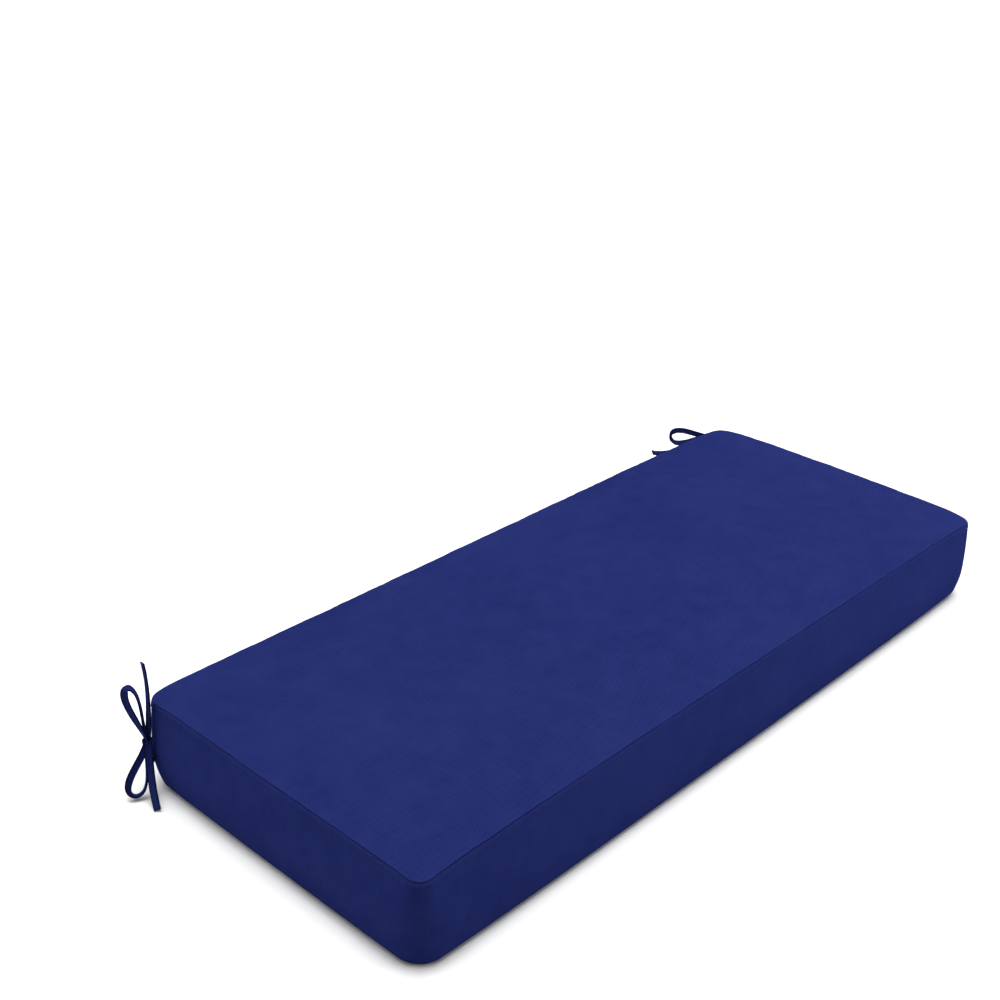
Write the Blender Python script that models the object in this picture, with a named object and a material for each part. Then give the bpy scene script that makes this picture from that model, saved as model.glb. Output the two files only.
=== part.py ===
"""Box cushion for a garden bench, with a tie at each back corner.

The cushion lies on its bottom panel. +X runs along the bench, +Y points to its back rest and +Z is up.
The origin is the middle of the bottom panel, on the surface that the cushion lies on.
"""

import math

import bmesh
import bpy
from mathutils import Vector

# Cushion, in metres. Seam sizes are taken along the seam lines.
LENGTH = 1.000
WIDTH = 0.405
TOP_SEAM_HEIGHT = 0.1072
CORNER_DROOP = 0.0052
BOTTOM_SEAM_HEIGHT = 0.0045
BAND_BULGE = 0.0062
BULGE_LEVEL = 0.38
BULGE_FULLNESS = 0.9
# How far the middle of a long side and of a short side bow out.
TOP_SEAM_BOW = (-0.0015, 0.0018)
BOTTOM_SEAM_BOW = (0.0040, 0.0010)
FOOT_TUCK = 0.0060
FOOT_LEVELS = ((0.0021, 0.0011), (0.0, 0.0029))  # inset and height
LEAST_CORNER_RADIUS = 0.003
SEAM_DEPTH = 0.0018
SEAM_FOLD = 0.0030
LIP_HEIGHT = 0.0014
EDGE_RISE = 0.0003
EDGE_ROLL = 0.0120
CROWN = 0.0042
CROWN_FLATNESS = 4.0
TOP_CORNER_RADIUS = 0.017
MIDDLE_CORNER_RADIUS = 0.028
BOTTOM_CORNER_RADIUS = 0.030
UNEVENNESS = 0.0008
FULL_CORNER = Vector((-0.5000, 0.2025))  # this corner is filled more than the others
FULL_CORNER_SWELL = 0.0008
FULL_CORNER_REACH = 0.045
FULL_CORNER_LEAN = 1.0  # share of the swell that grows evenly up to the top seam
FULL_CORNER_FADE = 0.008  # inside the outline, the top panel has none of the swell from here on

SUNK_CORNER = Vector((0.4600, 0.2000))  # the top sinks a little towards this corner
SUNK_DEPTH = 0.0018
SUNK_REACH = 0.110

# Mesh steps of the cushion.
CORNER_STEPS = 8
LONG_SIDE_STEPS = 24
SHORT_SIDE_STEPS = 10
BAND_STEPS = 9
EDGE_INSETS = (0.0022, 0.0065)
CROWN_INSETS = (0.018, 0.028, 0.045, 0.070, 0.105, 0.150, 0.182)

# Ties: a strip of the same cloth, folded in four and stitched flat.
TIE_WIDTH = 0.0080
TIE_THICKNESS = 0.0018
TIE_EDGE = 0.0006
KNOT_RADIUS = 0.0043
KNOT_HALF_HEIGHT = 0.0056
NECK_WIDTH = 0.0070
NECK_THICKNESS = 0.0030
NECK_REACH = 0.0060
NECK_STEPS = 6
LOOP_STEPS = 30
LOOP_OPENING = 0.03
TAIL_STEPS = 14

NAVY = (0.016, 0.026, 0.150, 1.0)
DARK_NAVY = (0.008, 0.011, 0.070, 1.0)
CLOTH_ROUGHNESS = 0.85

# Each bow: where it is sewn to the corner, where its knot lies and which way it faces. Its loops and
# tails are given in the bow's own directions: out (to the left as one faces it), front (towards one) and
# up. A turn is the angle of the strip about its own run, in degrees, at a share of the way along it. The
# neck starts sewn_gap off the band and climbs it by neck_rise before it bends to the knot.
BOWS = {
    "tie_left": {
        "corner": (-1, 1),
        "sewn_angle": 160.0,
        "sewn_height": 0.036,
        "sewn_gap": 0.0017,
        "neck_rise": 0.014,
        "neck_turns": ((0.0, 0.0), (1.0, 60.0)),
        "knot": (-0.5117, 0.1887, 0.0636),
        "facing": 236.5,
        "loops": (
            {"reach": 0.0684, "breadth": 0.0120, "fullness": 2.35, "lift": 0.0022,
             "along": (0.223, 0.0, 0.97),
             "turns": ((0.0, 20.0), (0.30, 70.0), (0.41, 84.0), (0.50, 22.0), (0.60, 8.0), (1.0, 8.0))},
            {"reach": 0.0622, "breadth": 0.0179, "fullness": 2.65, "lift": -0.0022,
             "along": (0.289, 0.229, -0.97),
             "turns": ((0.0, 70.0), (0.30, 82.0), (0.50, 8.0), (1.0, 8.0))},
        ),
        "tails": (
            {"length": 0.0892, "from": (-0.0010, -0.002, 0.002), "start": (-0.084, -0.05, 1.0),
             "end": (0.156, -0.05, 1.0), "turns": ((0.0, 38.0), (0.5, 29.0), (1.0, 25.0))},
            {"length": 0.0693, "from": (-0.001, 0.003, -0.002), "start": (0.011, 0.365, -1.0),
             "end": (-0.134, 0.542, -0.45), "turns": ((0.0, 80.0), (1.0, 98.0))},
        ),
    },
    "tie_right": {
        "corner": (1, 1),
        "sewn_angle": 75.0,
        "sewn_height": 0.067,
        "sewn_gap": 0.0006,
        "neck_rise": 0.0,
        "neck_turns": ((0.0, 0.0), (1.0, 0.0)),
        "knot": (0.4890, 0.2160, 0.0887),
        "facing": 214.0,
        "loops": (
            {"reach": 0.0524, "breadth": 0.0194, "fullness": 2.28, "lift": 0.0022,
             "along": (0.97, 0.0, -0.0987),
             "turns": ((0.0, 70.0), (0.25, 100.0), (0.38, 96.0), (0.49, 26.0), (0.58, 24.0), (0.70, 50.0),
                       (1.0, 50.0))},
            {"reach": 0.0580, "breadth": 0.0170, "fullness": 2.0, "lift": 0.0022,
             "along": (-0.10, -0.50, -0.80), "turns": ((0.0, 10.0), (0.40, 35.0), (1.0, 5.0))},
        ),
        "tails": (
            {"length": 0.0945, "from": (0.002, 0.0005, -0.003), "start": (0.76, 0.60, -0.26),
             "end": (0.76, 0.60, 0.41), "turns": ((0.0, 84.0), (0.55, 118.0), (1.0, 160.0))},
            {"length": 0.0700, "from": (0.0, -0.002, -0.003), "start": (-0.50, -0.40, -0.80),
             "end": (-0.45, -0.75, -0.40), "turns": ((0.0, 70.0), (1.0, 80.0))},
        ),
    },
}


def clear_scene():
    """Removes what the start-up scene holds."""
    for obj in list(bpy.data.objects):
        bpy.data.objects.remove(obj, do_unlink=True)


def new_collection(name, hidden=False):
    collection = bpy.data.collections.new(name)
    collection.hide_render = hidden
    bpy.context.scene.collection.children.link(collection)
    return collection


def cloth(name, colour):
    """A matt woven cloth in one colour."""
    material = bpy.data.materials.new(name)
    material.use_nodes = True
    shader = material.node_tree.nodes["Principled BSDF"]
    shader.inputs["Base Color"].default_value = colour
    shader.inputs["Roughness"].default_value = CLOTH_ROUGHNESS
    shader.inputs["Metallic"].default_value = 0.0
    return material


def outline(inset, radius, bow):
    """The cushion's plan, anticlockwise: a rectangle with round corners whose sides bow out."""
    half_x = LENGTH / 2 - inset
    half_y = WIDTH / 2 - inset
    radius = max(radius - max(inset, 0.0), LEAST_CORNER_RADIUS)
    points = []
    corners = ((1, 1, 0.0), (-1, 1, 90.0), (-1, -1, 180.0), (1, -1, 270.0))
    sides = (LONG_SIDE_STEPS, SHORT_SIDE_STEPS, LONG_SIDE_STEPS, SHORT_SIDE_STEPS)
    for index, (sign_x, sign_y, first) in enumerate(corners):
        centre = Vector((sign_x * (half_x - radius), sign_y * (half_y - radius)))
        for step in range(CORNER_STEPS + 1):
            angle = math.radians(first + 90.0 * step / CORNER_STEPS)
            points.append(centre + radius * Vector((math.cos(angle), math.sin(angle))))
        next_x, next_y, next_first = corners[(index + 1) % 4]
        angle = math.radians(next_first)
        target = Vector((next_x * (half_x - radius), next_y * (half_y - radius)))
        target += radius * Vector((math.cos(angle), math.sin(angle)))
        start = points[-1].copy()
        for step in range(1, sides[index]):
            points.append(start.lerp(target, step / sides[index]))
    return [bowed(point, half_x, half_y, bow) for point in points]


def bowed(point, half_x, half_y, bow):
    """Moves a point of the plan outwards: by bow at the middle of a side, by nothing at a corner."""
    across_x = point.x / half_x
    across_y = point.y / half_y
    out_x = bow[1] * (1 - across_y**2) * across_x * abs(across_x) ** 5
    out_y = bow[0] * (1 - across_x**4) * across_y * abs(across_y) ** 5
    return Vector((point.x + out_x, point.y + out_y))


def unevenness(point, height):
    """How far the filling pushes the band out here, from a few slow waves along it."""
    along = point.x * 17.0 + point.y * 23.0
    return UNEVENNESS * (math.sin(along + 31.0 * height) + 0.6 * math.sin(2.3 * along - 47.0 * height))


def droop(point):
    """How far the top seam sinks at this point: most at the corners, and one of them sinks further."""
    near_end = abs(2 * point.x / LENGTH) ** 20
    near_side = abs(2 * point.y / WIDTH) ** 8
    sunk = SUNK_DEPTH * math.exp(-(((point.xy - SUNK_CORNER).length / SUNK_REACH) ** 2))
    return CORNER_DROOP * min(1.0, near_end * near_side) + sunk


def crown_height(point, inset):
    """Height of the top panel: a rolled edge, then a low crown that fades to the seams."""
    edge = max(0.0, 1 - inset / EDGE_ROLL)
    fade_x = 1 - abs(2 * point.x / LENGTH) ** CROWN_FLATNESS
    fade_y = 1 - abs(2 * point.y / WIDTH) ** CROWN_FLATNESS
    crown = CROWN * max(0.0, fade_x) * max(0.0, fade_y)
    rise = EDGE_RISE * math.sqrt(1 - edge * edge)
    return TOP_SEAM_HEIGHT + LIP_HEIGHT + rise + crown - droop(point)


def full_corner(point, height, inset):
    """How far the fuller corner stands out here: nothing at the bottom seam, most above half way up."""
    level = (height - BOTTOM_SEAM_HEIGHT) / (TOP_SEAM_HEIGHT - BOTTOM_SEAM_HEIGHT)
    level = min(1.0, max(0.0, level))
    upward = (1 - FULL_CORNER_LEAN / 2) * math.sin(math.pi * level**2) + FULL_CORNER_LEAN * level
    near = math.exp(-(((point - FULL_CORNER).length / FULL_CORNER_REACH) ** 2))
    fade = 1 - max(0.0, min(1.0, inset / FULL_CORNER_FADE))
    return FULL_CORNER_SWELL * upward * near * fade


def uneven_point(point, height, swell, inset=0.0):
    """A point of the plan at its height, pushed out by the filling: swell is the unevenness' share."""
    push = swell * unevenness(point, height) + full_corner(point, height, inset)
    out = point.normalized() * push
    return Vector((point.x + out.x, point.y + out.y, height))


def ring(inset, height, radius, bow, swell=0.0):
    """One level of the cushion."""
    return [uneven_point(point, height, swell, inset) for point in outline(inset, radius, bow)]


def corner_radius(level):
    """Corner radius at a level of the band, 0 at the bottom seam and 1 at the top seam."""
    straight = BOTTOM_CORNER_RADIUS + (TOP_CORNER_RADIUS - BOTTOM_CORNER_RADIUS) * level
    middle = (BOTTOM_CORNER_RADIUS + TOP_CORNER_RADIUS) / 2
    return straight + (MIDDLE_CORNER_RADIUS - middle) * math.sin(math.pi * level)


def band_inset(level):
    """Negative where the band bulges: nothing at the seams, most a little under half way up."""
    if level < BULGE_LEVEL:
        share = 0.5 * level / BULGE_LEVEL
    else:
        share = 1 - 0.5 * (1 - level) / (1 - BULGE_LEVEL)
    return -BAND_BULGE * math.sin(math.pi * share) ** BULGE_FULLNESS


def band_shape(level):
    """Inset, corner radius and bow of the band at a level, 0 at the bottom seam and 1 at the top seam."""
    bow = [low + (high - low) * level for low, high in zip(BOTTOM_SEAM_BOW, TOP_SEAM_BOW)]
    return band_inset(level), corner_radius(level), bow


def cushion_rings():
    """The levels of the cushion from its flat bottom, over both seams, to the middle of its crown."""
    bottom, top = BOTTOM_SEAM_HEIGHT, TOP_SEAM_HEIGHT
    rings = []
    for inset, height in ((FOOT_TUCK, 0.0),) + FOOT_LEVELS + ((SEAM_DEPTH, bottom),):
        rings.append(ring(inset, height, BOTTOM_CORNER_RADIUS, BOTTOM_SEAM_BOW))
    for step in range(1, BAND_STEPS + 1):
        level = step / (BAND_STEPS + 1)
        height = bottom + (top - bottom) * level
        inset, radius, bow = band_shape(level)
        rings.append(ring(inset, height, radius, bow, math.sin(math.pi * level)))
    for inset, above_seam in ((0.0, -SEAM_FOLD), (SEAM_DEPTH, 0.0), (0.0, LIP_HEIGHT)):
        points = ring(inset, top + above_seam, TOP_CORNER_RADIUS, TOP_SEAM_BOW)
        for point in points:
            point.z -= droop(point)
        rings.append(points)
    for inset in EDGE_INSETS + (EDGE_ROLL,) + CROWN_INSETS:
        points = ring(inset, top, TOP_CORNER_RADIUS, TOP_SEAM_BOW)
        for point in points:
            point.z = crown_height(point, inset)
        rings.append(points)
    return rings


def skin(bm, rings):
    """Joins each ring to the next with faces, and closes the first and the last."""
    levels = [[bm.verts.new(point) for point in points] for points in rings]
    for lower, upper in zip(levels, levels[1:]):
        count = len(lower)
        for index in range(count):
            following = (index + 1) % count
            bm.faces.new((lower[index], lower[following], upper[following], upper[index]))
    bm.faces.new(reversed(levels[0]))
    bm.faces.new(levels[-1])
    bmesh.ops.recalc_face_normals(bm, faces=bm.faces)


def mesh_object(name, rings, collection, material):
    """A closed smooth object from a row of rings."""
    bm = bmesh.new()
    skin(bm, rings)
    mesh = bpy.data.meshes.new(name)
    bm.to_mesh(mesh)
    bm.free()
    mesh.shade_smooth()
    mesh.materials.append(material)
    obj = bpy.data.objects.new(name, mesh)
    collection.objects.link(obj)
    return obj


def tape_section(centre, tangent, normal, turn, width, thickness):
    """A flat strip's cross-section, its edges rounded. At turn 0 its broad faces stand along normal."""
    side = tangent.cross(normal).normalized()
    normal = side.cross(tangent).normalized()
    broad = normal * math.cos(turn) + side * math.sin(turn)
    flat = tangent.cross(broad)
    half_w, half_t = width / 2, thickness / 2
    corners = (
        (half_w, TIE_EDGE - half_t), (half_w, half_t - TIE_EDGE), (half_w - TIE_EDGE, half_t),
        (TIE_EDGE - half_w, half_t), (-half_w, half_t - TIE_EDGE), (-half_w, TIE_EDGE - half_t),
        (TIE_EDGE - half_w, -half_t), (half_w - TIE_EDGE, -half_t),
    )
    return [centre + broad * across + flat * up for across, up in corners]


def tape(name, path, normal, turns, collection, material, width=TIE_WIDTH, thickness=TIE_THICKNESS):
    """A strip that follows path, turned about it by the angle in turns at each point."""
    sections = []
    for index, point in enumerate(path):
        before = path[max(index - 1, 0)]
        after = path[min(index + 1, len(path) - 1)]
        tangent = (after - before).normalized()
        sections.append(tape_section(point, tangent, normal, turns[index], width, thickness))
    return mesh_object(name, sections, collection, material)


def bow_axes(facing):
    """The directions out, front and up of a bow that faces the angle given, in degrees from +X."""
    angle = math.radians(facing)
    front = Vector((math.cos(angle), math.sin(angle), 0.0))
    up = Vector((0.0, 0.0, 1.0))
    return up.cross(front) * -1.0, front, up


def in_axes(axes, parts):
    return axes[0] * parts[0] + axes[1] * parts[1] + axes[2] * parts[2]


def neck_path(start, outward, rise, knot):
    """The sewn middle of the strip: off the band, up along it by rise, then bending to the knot."""
    bend = start + outward * NECK_REACH
    bend.z += rise
    path = []
    for step in range(NECK_STEPS + 1):
        share = step / NECK_STEPS
        path.append(start.lerp(bend, share).lerp(bend.lerp(knot, share), share))
    return path


def loop_path(knot, axes, loop):
    """A drop-shaped loop: out on its left side, round its far end and back on its right side."""
    along = in_axes(axes, loop["along"]).normalized()
    normal = along.cross(axes[0] if abs(along.dot(axes[0])) < 0.8 else axes[2]).normalized()
    across = normal.cross(along).normalized()
    widest = 2 * math.atan(math.sqrt(1 + loop["fullness"]))
    most = math.sin(widest) * math.sin(widest / 2) ** loop["fullness"]
    path = []
    for step in range(LOOP_STEPS + 1):
        angle = 2 * math.pi * (LOOP_OPENING + (1 - 2 * LOOP_OPENING) * step / LOOP_STEPS)
        forward = loop["reach"] * (1 - math.cos(angle)) / 2
        sideways = math.sin(angle) * math.sin(angle / 2) ** loop["fullness"] / most
        lift = loop["lift"] * math.cos(angle / 2)
        path.append(knot + along * forward + across * sideways * loop["breadth"] / 2 + normal * lift)
    return path, normal


def tail_path(knot, axes, tail):
    """A free end whose direction turns from its start to its tip, most of it near the tip."""
    start = in_axes(axes, tail["start"]).normalized()
    end = in_axes(axes, tail["end"]).normalized()
    path = [knot + in_axes(axes, tail["from"])]
    for step in range(TAIL_STEPS):
        direction = start.lerp(end, ((step + 0.5) / TAIL_STEPS) ** 2).normalized()
        path.append(path[-1] + direction * tail["length"] / TAIL_STEPS)
    return path


def turns_along(count, stops):
    """The strip's turn at each of count points, eased between stops of (share of the way, degrees)."""
    angles = []
    for index in range(count):
        share = index / (count - 1)
        before = [stop for stop in stops if stop[0] <= share][-1]
        after = [stop for stop in stops if stop[0] >= share][0]
        span = after[0] - before[0]
        part = (share - before[0]) / span if span else 0.0
        eased = part * part * (3 - 2 * part)
        angles.append(math.radians(before[1] + (after[1] - before[1]) * eased))
    return angles


def sewn_point(corner, angle, height):
    """The point of the band's corner at a compass angle and a height, and its outward direction."""
    level = (height - BOTTOM_SEAM_HEIGHT) / (TOP_SEAM_HEIGHT - BOTTOM_SEAM_HEIGHT)
    inset, radius, bow = band_shape(level)
    half_x = LENGTH / 2 - inset
    half_y = WIDTH / 2 - inset
    outward = Vector((math.cos(math.radians(angle)), math.sin(math.radians(angle))))
    centre = Vector((corner[0] * (half_x - radius), corner[1] * (half_y - radius)))
    plan = bowed(centre + outward * radius, half_x, half_y, bow)
    return uneven_point(plan, height, math.sin(math.pi * level)), outward.to_3d()


def knot_core(name, knot, helpers, material):
    """The gathered middle of the knot."""
    bm = bmesh.new()
    bmesh.ops.create_uvsphere(bm, u_segments=14, v_segments=9, radius=1.0)
    bmesh.ops.scale(bm, verts=bm.verts, vec=(KNOT_RADIUS, KNOT_RADIUS, KNOT_HALF_HEIGHT))
    bmesh.ops.translate(bm, verts=bm.verts, vec=knot)
    mesh = bpy.data.meshes.new(name)
    bm.to_mesh(mesh)
    bm.free()
    mesh.materials.append(material)
    obj = bpy.data.objects.new(name, mesh)
    helpers.objects.link(obj)
    return obj


def add_bow(name, bow, parts, helpers, material):
    """A tie sewn to a corner and knotted in a bow: its neck, knot, loops and free ends in one piece."""
    axes = bow_axes(bow["facing"])
    sewn, outward = sewn_point(bow["corner"], bow["sewn_angle"], bow["sewn_height"])
    start = sewn + outward * bow["sewn_gap"]
    knot = Vector(bow["knot"])

    neck = neck_path(start, outward, bow["neck_rise"], knot)
    turns = turns_along(len(neck), bow["neck_turns"])
    base = tape(name, neck, outward.cross(axes[2]), turns, parts, material, NECK_WIDTH, NECK_THICKNESS)
    pieces = [knot_core(f"{name}_core", knot, helpers, material)]
    for index, loop in enumerate(bow["loops"]):
        path, normal = loop_path(knot, axes, loop)
        turns = turns_along(len(path), loop["turns"])
        pieces.append(tape(f"{name}_loop_{index}", path, normal, turns, helpers, material))
    for index, tail in enumerate(bow["tails"]):
        path = tail_path(knot, axes, tail)
        turns = turns_along(len(path), tail["turns"])
        pieces.append(tape(f"{name}_tail_{index}", path, axes[1], turns, helpers, material))
    for piece in pieces:
        piece.hide_render = True
        piece.display_type = "WIRE"
        union = base.modifiers.new(piece.name, "BOOLEAN")
        union.operation = "UNION"
        union.solver = "EXACT"
        union.use_self = True
        union.object = piece
    return base


def add_cushion(parts, material):
    """The filled cushion: bottom panel, band and top panel as one solid."""
    return mesh_object("cushion", cushion_rings(), parts, material)


def main():
    clear_scene()
    parts = new_collection("bench_cushion")
    helpers = new_collection("bow_pieces", hidden=True)
    add_cushion(parts, cloth("navy cloth", NAVY))
    tie_cloth = cloth("navy tie", DARK_NAVY)
    for name, bow in BOWS.items():
        add_bow(name, bow, parts, helpers, tie_cloth)


main()
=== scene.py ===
"""Bench cushion: a filled box cushion in navy woven cloth, with a bow-knotted tie at each back corner.

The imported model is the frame. This script puts a swelled and sewn cushion and two folded and stitched
ties in the place of its plain solids, and adds the floor, the light and the camera. Metres, +Z up.
"""
import logging
import math
from dataclasses import dataclass
from enum import Enum

import bmesh
import bpy
import numpy as np
from mathutils import Matrix, Vector
from mathutils.bvhtree import BVHTree


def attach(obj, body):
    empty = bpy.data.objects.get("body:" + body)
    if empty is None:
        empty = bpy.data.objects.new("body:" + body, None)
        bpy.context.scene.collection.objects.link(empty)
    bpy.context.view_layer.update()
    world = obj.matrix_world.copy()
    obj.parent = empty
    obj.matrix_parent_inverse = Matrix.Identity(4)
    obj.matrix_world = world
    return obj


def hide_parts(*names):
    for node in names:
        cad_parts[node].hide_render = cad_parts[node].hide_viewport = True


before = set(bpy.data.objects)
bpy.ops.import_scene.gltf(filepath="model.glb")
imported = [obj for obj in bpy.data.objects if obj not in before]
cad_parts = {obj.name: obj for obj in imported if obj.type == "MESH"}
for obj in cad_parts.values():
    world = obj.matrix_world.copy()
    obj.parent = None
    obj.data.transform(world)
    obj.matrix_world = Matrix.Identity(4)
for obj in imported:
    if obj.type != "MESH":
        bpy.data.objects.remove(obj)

GRAIN_MAP = "cloth_grain"
# Share of painted light at each point: a painted highlight beside the cushion's seams, painted shade at the
# ties' folds.
PAINTED_LIGHT_ATTR = "painted_light_mask"
STITCH_UP = "stitch_up"

log = logging.getLogger("bench_cushion")

Pair = tuple[float, float]
Vec3 = tuple[float, float, float]
Stops = tuple[Pair, ...]
Array = np.ndarray
Mesh, Object, Material = bpy.types.Mesh, bpy.types.Object, bpy.types.Material
NodeTree, Node, Socket = bpy.types.NodeTree, bpy.types.Node, bpy.types.NodeSocket
Inputs = dict[str | int, object]


class Panel(Enum):
    """The cut pieces of the cover, which decide how the cloth's grain runs."""

    TOP = "top panel"
    BAND = "band"
    BOTTOM = "bottom panel"


# ---------------------------------------------------------------------------------------------------------
# Finishes
# ---------------------------------------------------------------------------------------------------------


class NodeSheet:
    """A node tree that is filled one node at a time."""

    def __init__(self, tree: NodeTree) -> None:
        """Takes the tree and empties it."""
        self.tree = tree
        tree.nodes.clear()

    def fill(self, node: Node, inputs: Inputs) -> None:
        """Gives inputs of a node their values.

        Args:
            node: The node.
            inputs: Outputs to link and plain values to set, by the input's name or number.
        """
        for name, value in inputs.items():
            if isinstance(value, Socket):
                self.tree.links.new(value, node.inputs[name])
            else:
                node.inputs[name].default_value = value

    def add(self, kind: str, inputs: Inputs | None = None, **settings: object) -> Node:
        """Adds a node.

        Args:
            kind: The node's type name.
            inputs: Outputs to link and plain values to set, by the input's name or number.
            **settings: Properties of the node, by name.

        Returns:
            The new node.
        """
        node = self.tree.nodes.new(kind)
        for name, value in settings.items():
            setattr(node, name, value)
        self.fill(node, inputs or {})
        return node

    def declare(self, in_out: str, kinds: dict[str, str]) -> Node:
        """Args:
            in_out: INPUT or OUTPUT.
            kinds: The kind of each socket, such as Float, by its name.

        Returns:
            The node that holds them inside the group.
        """
        for name, kind in kinds.items():
            self.tree.interface.new_socket(name, in_out=in_out, socket_type="NodeSocket" + kind)
        return self.add("NodeGroup" + in_out.title())

    def math(self, operation: str, *values: object) -> Socket:
        """Adds a Math node with its values in order, and gives its result."""
        return self.add("ShaderNodeMath", dict(enumerate(values)), operation=operation).outputs[0]

    def mix(self, share: object, low: object, high: object) -> Socket:
        """Adds a blend from the colour low, at share 0, to the colour high, at share 1."""
        return self.add("ShaderNodeMix", {0: share, 6: low, 7: high}, data_type="RGBA").outputs[2]

    def noise(self, place: Socket, scale: float, detail: float = 2.0) -> Socket:
        """Adds a noise of so many waves a metre, with values from about -0.5 to 0.5."""
        node = self.add("ShaderNodeTexNoise", {"Vector": place, "Scale": scale, "Detail": detail})
        return self.math("SUBTRACT", node.outputs[0], 0.5)


def new_material(name: str) -> tuple[Material, NodeSheet, Node]:
    """Makes a material that holds only a Principled shader.

    Args:
        name: The material's name.

    Returns:
        The material, its node sheet and its shader.
    """
    material = bpy.data.materials.new(name)
    material.use_nodes = True
    sheet = NodeSheet(material.node_tree)
    shader = sheet.add("ShaderNodeBsdfPrincipled")
    sheet.add("ShaderNodeOutputMaterial", {"Surface": shader.outputs[0]})
    return material, sheet, shader


@dataclass(frozen=True)
class Weave:
    """The weave that the cover and the ties share, as one node group.

    Attributes:
        group_name: Name of the node group.
        thread_pitch: From one thread to the next.
        thread_waver: The threads' waver: waves a metre, and its size in radians.
        rib_pitch: From one of the faint slanting ribs to the next.
        rib_turn: Direction across the ribs, in degrees from the grain.
        rib_waver: The ribs' waver, as for the threads.
        rib_fading: Waves a metre of the two noises by which the ribs fade.
        rib_strength: The ribs' usual strength, its change and its least value.
        slub_scale: Waves a metre across the yarn.
        slub_stretch: The share of them that there is along the yarn.
        mottle_scales: Waves a metre of the two noises of the slow change of shade.
        thread_shade: How much the threads' height changes the shade.
        gloss: How much less rough the yarn is than the hollows.
    """

    group_name: str = "woven cloth"
    thread_pitch: float = 0.00062
    thread_waver: Pair = (60.0, 5.0)
    rib_pitch: float = 0.00235
    rib_turn: float = -59.0
    rib_waver: Pair = (45.0, 7.0)
    rib_fading: Pair = (21.0, 160.0)
    rib_strength: Vec3 = (0.8, 1.9, 0.1)
    slub_scale: float = 700.0
    slub_stretch: float = 0.05
    mottle_scales: Pair = (7.0, 34.0)
    thread_shade: float = 0.25
    gloss: float = 0.12

    def threads(self, sheet: NodeSheet, grain: Socket) -> Socket:
        """The plain weave: threads that rise and sink by turns, with a little waver in them.

        Args:
            sheet: The group's tree.
            grain: Place along the cloth, in metres.

        Returns:
            The threads' height, from -1 to 1.
        """
        split = sheet.add("ShaderNodeSeparateXYZ", {0: grain}).outputs
        scale, size = self.thread_waver
        waver = sheet.math("MULTIPLY", sheet.noise(grain, scale, 1.0), size)
        pace = 2 * math.pi / self.thread_pitch
        waves = [sheet.math("SINE", sheet.math("MULTIPLY_ADD", split[axis], pace, waver)) for axis in (0, 1)]
        return sheet.math("MULTIPLY", *waves)

    def ribs(self, sheet: NodeSheet, grain: Socket) -> Socket:
        """The faint slanting ribs.

        Args:
            sheet: The group's tree.
            grain: Place along the cloth, in metres.

        Returns:
            The ribs' height, from -1 to 1.
        """
        angle = math.radians(self.rib_turn)
        along = sheet.add("ShaderNodeVectorMath", {0: grain, 1: (math.cos(angle), math.sin(angle), 0.0)},
                          operation="DOT_PRODUCT").outputs["Value"]
        scale, size = self.rib_waver
        waver = sheet.math("MULTIPLY", sheet.noise(grain, scale), size)
        ribs = sheet.math("SINE", sheet.math("MULTIPLY_ADD", along, 2 * math.pi / self.rib_pitch, waver))
        usual, change, least = self.rib_strength
        fading = sheet.math("ADD", *(sheet.noise(grain, waves) for waves in self.rib_fading))
        strength = sheet.math("MULTIPLY_ADD", fading, change, usual)
        return sheet.math("MULTIPLY", ribs, sheet.math("MAXIMUM", strength, least))

    def slubs(self, sheet: NodeSheet, grain: Socket) -> Socket:
        """Thicker and thinner stretches of yarn along both directions of the cloth.

        Args:
            sheet: The group's tree.
            grain: Place along the cloth, in metres.

        Returns:
            The slubs, about 0.
        """
        yarns = []
        for scale in ((1.0, self.slub_stretch, 1.0), (self.slub_stretch, 1.0, 1.0)):
            drawn = sheet.add("ShaderNodeMapping", {"Vector": grain, "Scale": scale}).outputs[0]
            yarns.append(sheet.noise(drawn, self.slub_scale))
        return sheet.math("ADD", *yarns)

    def group(self) -> NodeTree:
        """Builds the group, or finds it.

        Returns:
            The node group, which gives a colour, a roughness and a height.
        """
        found = bpy.data.node_groups.get(self.group_name)
        if found:
            return found
        tree = bpy.data.node_groups.new(self.group_name, "ShaderNodeTree")
        sheet = NodeSheet(tree)
        given = sheet.declare("INPUT", {
            "Grain": "Vector", "Place": "Vector", "Yarn": "Color", "Hollow": "Color", "Painted Light Colour": "Color",
            "Painted Light Share": "Float", "Mottle": "Float", "Slub": "Float", "Rib": "Float", "Nap": "Float"}).outputs
        out = sheet.declare("OUTPUT", {"Colour": "Color", "Roughness": "Float", "Height": "Float"})
        threads = self.threads(sheet, given["Grain"])
        ribs = sheet.math("MULTIPLY", self.ribs(sheet, given["Grain"]), given["Rib"])
        slubs = sheet.math("MULTIPLY", self.slubs(sheet, given["Grain"]), given["Slub"])
        clouds = [sheet.noise(given["Place"], scale, 3.0) for scale in self.mottle_scales]
        mottle = sheet.math("MULTIPLY", sheet.math("ADD", *clouds), given["Mottle"])

        lift = sheet.math("MULTIPLY_ADD", threads, self.thread_shade, ribs)
        shade = sheet.math("ADD", sheet.math("ADD", lift, sheet.math("ADD", slubs, mottle)), 0.5)
        cloth = sheet.mix(shade, given["Hollow"], given["Yarn"])
        # The colour is blended by the painted light share towards the painted light colour: a painted
        # highlight on the cover, painted shade on the ties.
        sheet.fill(out, {
            "Colour": sheet.mix(given["Painted Light Share"], cloth, given["Painted Light Colour"]),
            "Roughness": sheet.math("MULTIPLY_ADD", shade, -self.gloss, given["Nap"]),
            "Height": sheet.math("ADD", threads, sheet.math("ADD", ribs, slubs))})
        return tree


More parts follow.
